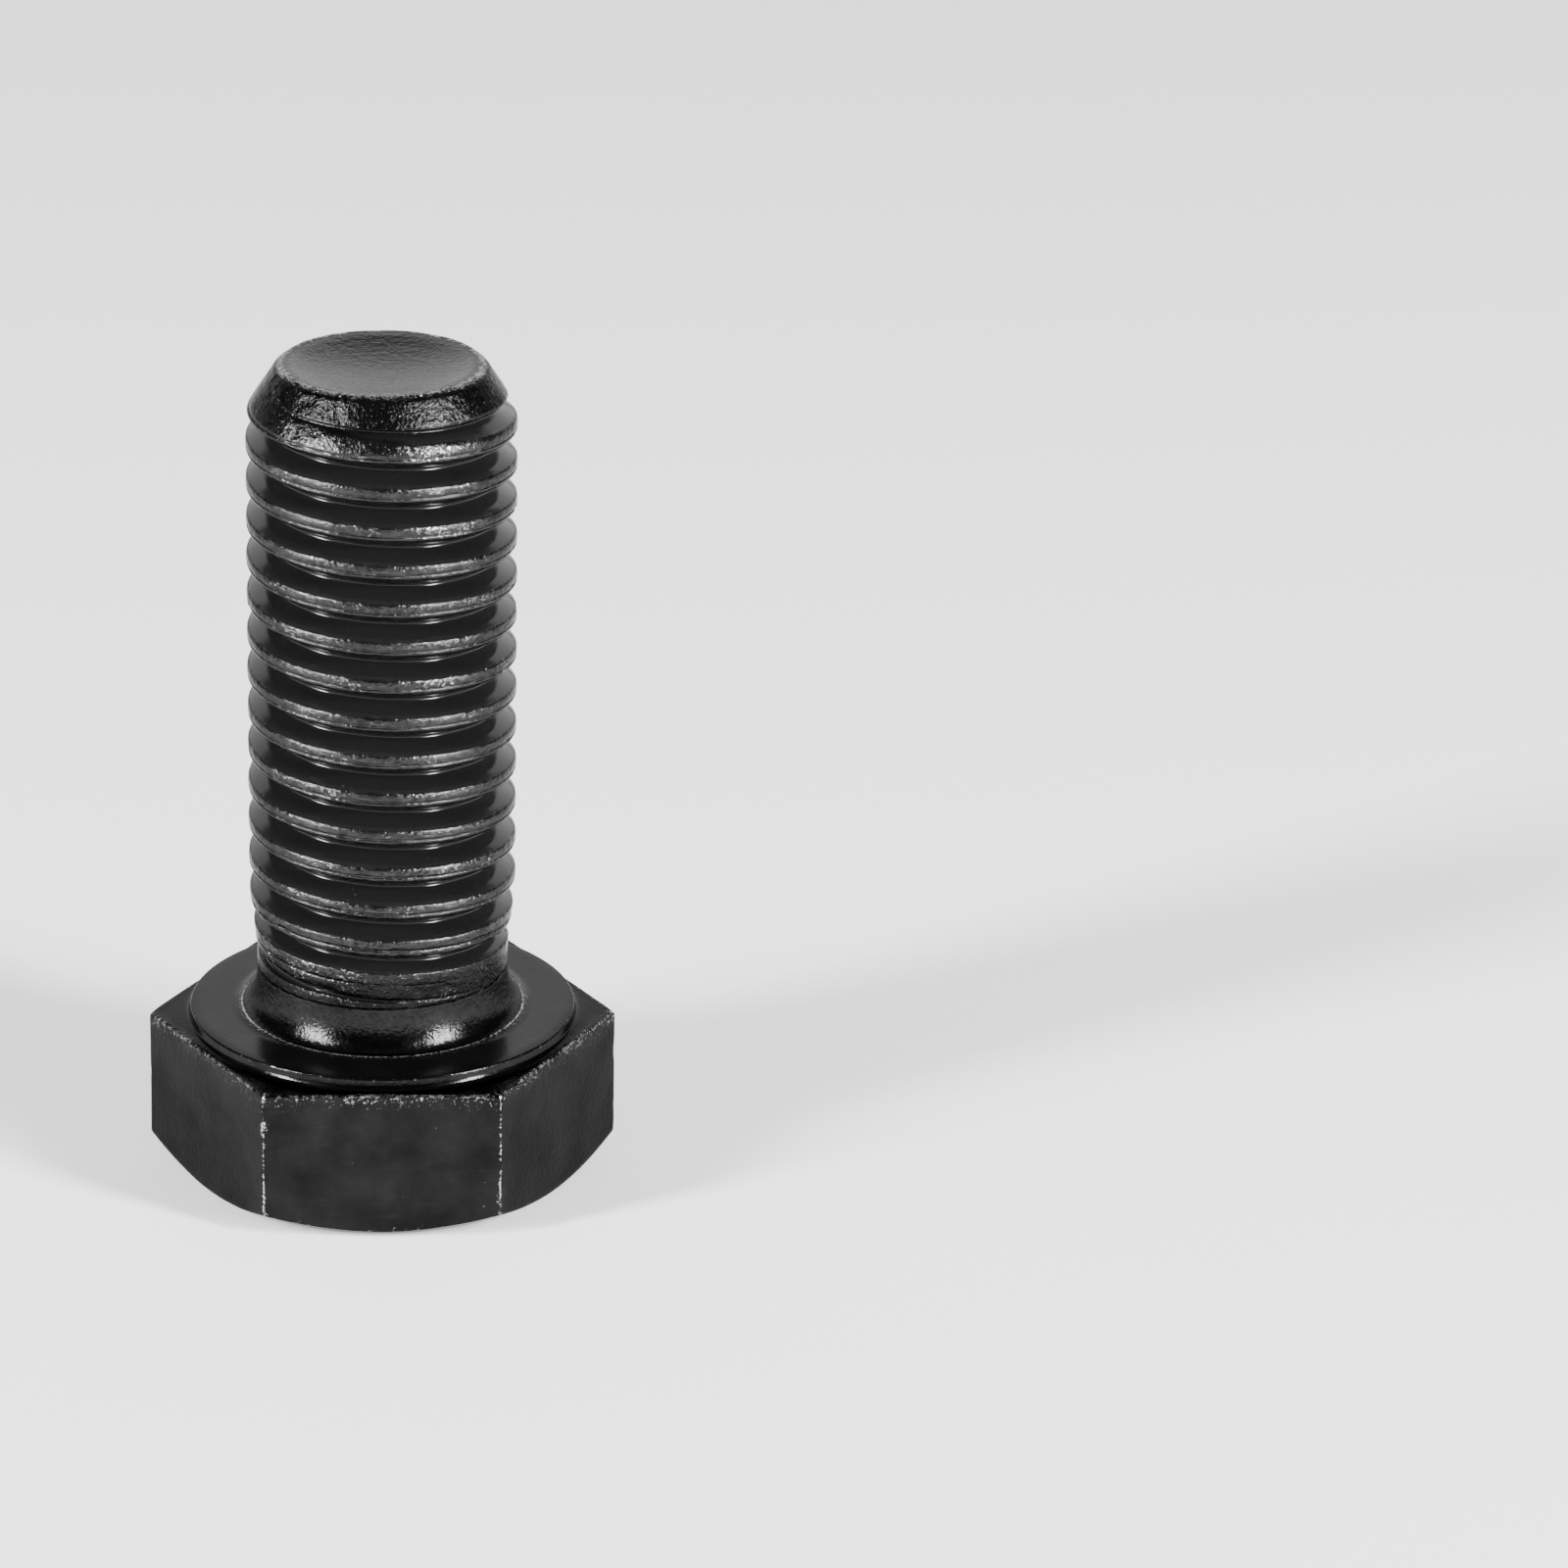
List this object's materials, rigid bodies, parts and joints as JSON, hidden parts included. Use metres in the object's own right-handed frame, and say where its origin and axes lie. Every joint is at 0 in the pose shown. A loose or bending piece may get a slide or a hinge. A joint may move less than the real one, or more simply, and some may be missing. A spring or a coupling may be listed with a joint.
{
  "type": "hexagon head bolt",
  "caption": "Short hexagon head bolt with a washer face, fully threaded left-hand shank, run-out neck and dished tip, black oxide finish.",
  "frame": {"origin": "centre of the bearing face, where the underside of the head clamps the joint", "axes": "+Z along the shank axis from the bearing face to the tip; the head is on the -Z side; one flat of the hexagon faces -Y and two of its corners lie on the X axis"},
  "size_m": [0.0208, 0.018, 0.0375],
  "materials": {
    "black_oxide_steel": "satin black oxide over rolled and forged steel"
  },
  "bodies": {
    "root": {"hex_bolt": "black_oxide_steel"}
  },
  "joints": []
}
